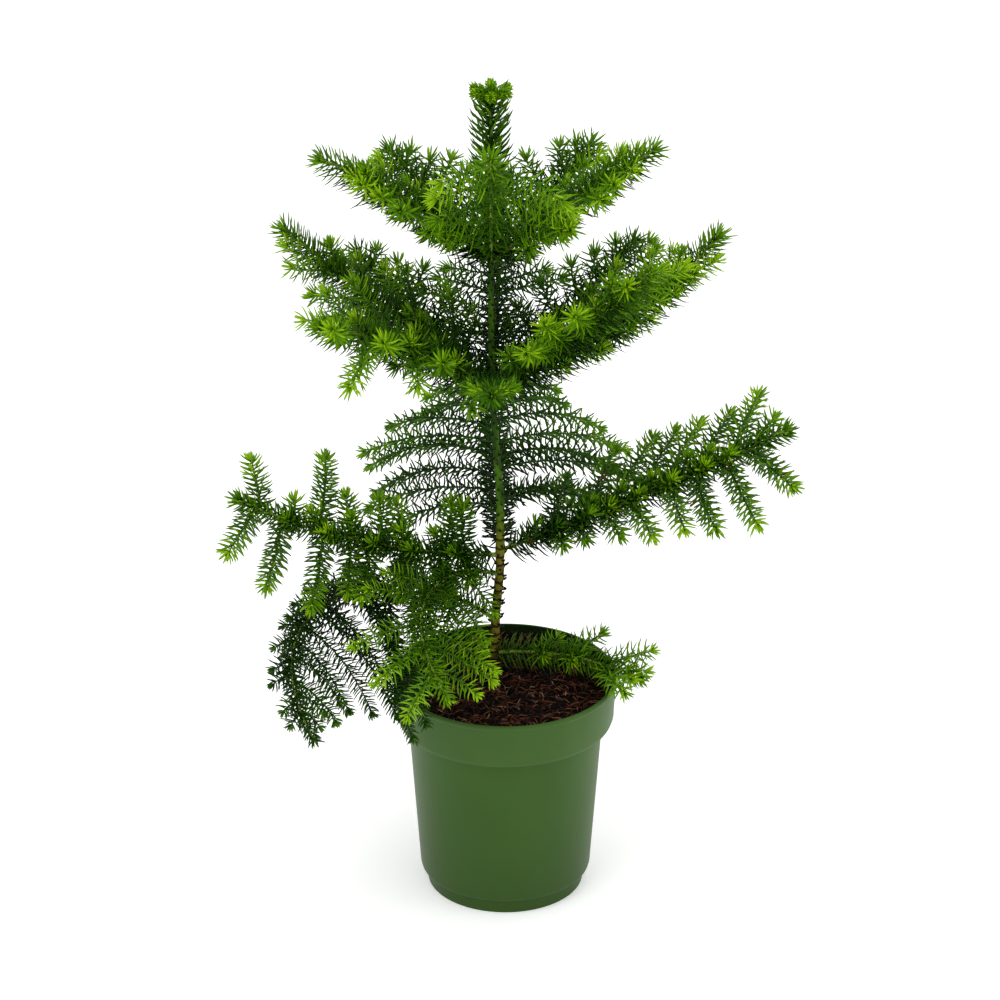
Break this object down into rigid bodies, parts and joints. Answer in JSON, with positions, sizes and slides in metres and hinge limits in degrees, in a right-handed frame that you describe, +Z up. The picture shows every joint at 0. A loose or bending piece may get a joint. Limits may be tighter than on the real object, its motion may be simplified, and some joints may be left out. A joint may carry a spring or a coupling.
{
  "type": "potted norfolk island pine",
  "caption": "Young Norfolk Island pine in a round green nursery pot: tiers of flat fan-shaped needle boughs on a slim upright trunk.",
  "frame": {"origin": "centre of the pot's flat underside", "axes": "+Z up along the pot's axis, -Y towards the front of the plant, +X to its right"},
  "size_m": [0.3512, 0.335, 0.5351],
  "materials": {
    "pot_plastic": "satin moulded",
    "soil": "moist and matte",
    "trunk_bark": "matte bark",
    "bough_wood": "matte young bark",
    "needles": "soft satin needles",
    "young_needles": "soft satin needles"
  },
  "bodies": {
    "root": {"bough_basal_left": "bough_wood", "bough_basal_right": "bough_wood", "bough_lower_back": "bough_wood", "bough_lower_front": "bough_wood", "bough_lower_left": "bough_wood", "bough_lower_right": "bough_wood", "bough_middle_back": "bough_wood", "bough_middle_back_left": "bough_wood", "bough_middle_back_right": "bough_wood", "bough_middle_front": "bough_wood", "bough_middle_front_left": "bough_wood", "bough_middle_front_right": "bough_wood", "bough_middle_left": "bough_wood", "bough_middle_right": "bough_wood", "bough_upper_back_left": "bough_wood", "bough_upper_back_right": "bough_wood", "bough_upper_front": "bough_wood", "bough_upper_left": "bough_wood", "bough_upper_right": "bough_wood", "foliage_basal_left": "needles", "foliage_basal_right": "needles", "foliage_leader": "needles", "foliage_lower_back": "needles", "foliage_lower_front": "needles", "foliage_lower_left": "needles", "foliage_lower_right": "needles", "foliage_middle_back": "needles", "foliage_middle_back_left": "needles", "foliage_middle_back_right": "needles", "foliage_middle_front": "needles", "foliage_middle_front_left": "needles", "foliage_middle_front_right": "needles", "foliage_middle_left": "needles", "foliage_middle_right": "needles", "foliage_upper_back_left": "needles", "foliage_upper_back_right": "needles", "foliage_upper_front": "needles", "foliage_upper_left": "needles", "foliage_upper_right": "needles", "pot": "pot_plastic", "soil": "soil", "top_bud": "young_needles", "trunk": "trunk_bark"}
  },
  "joints": []
}
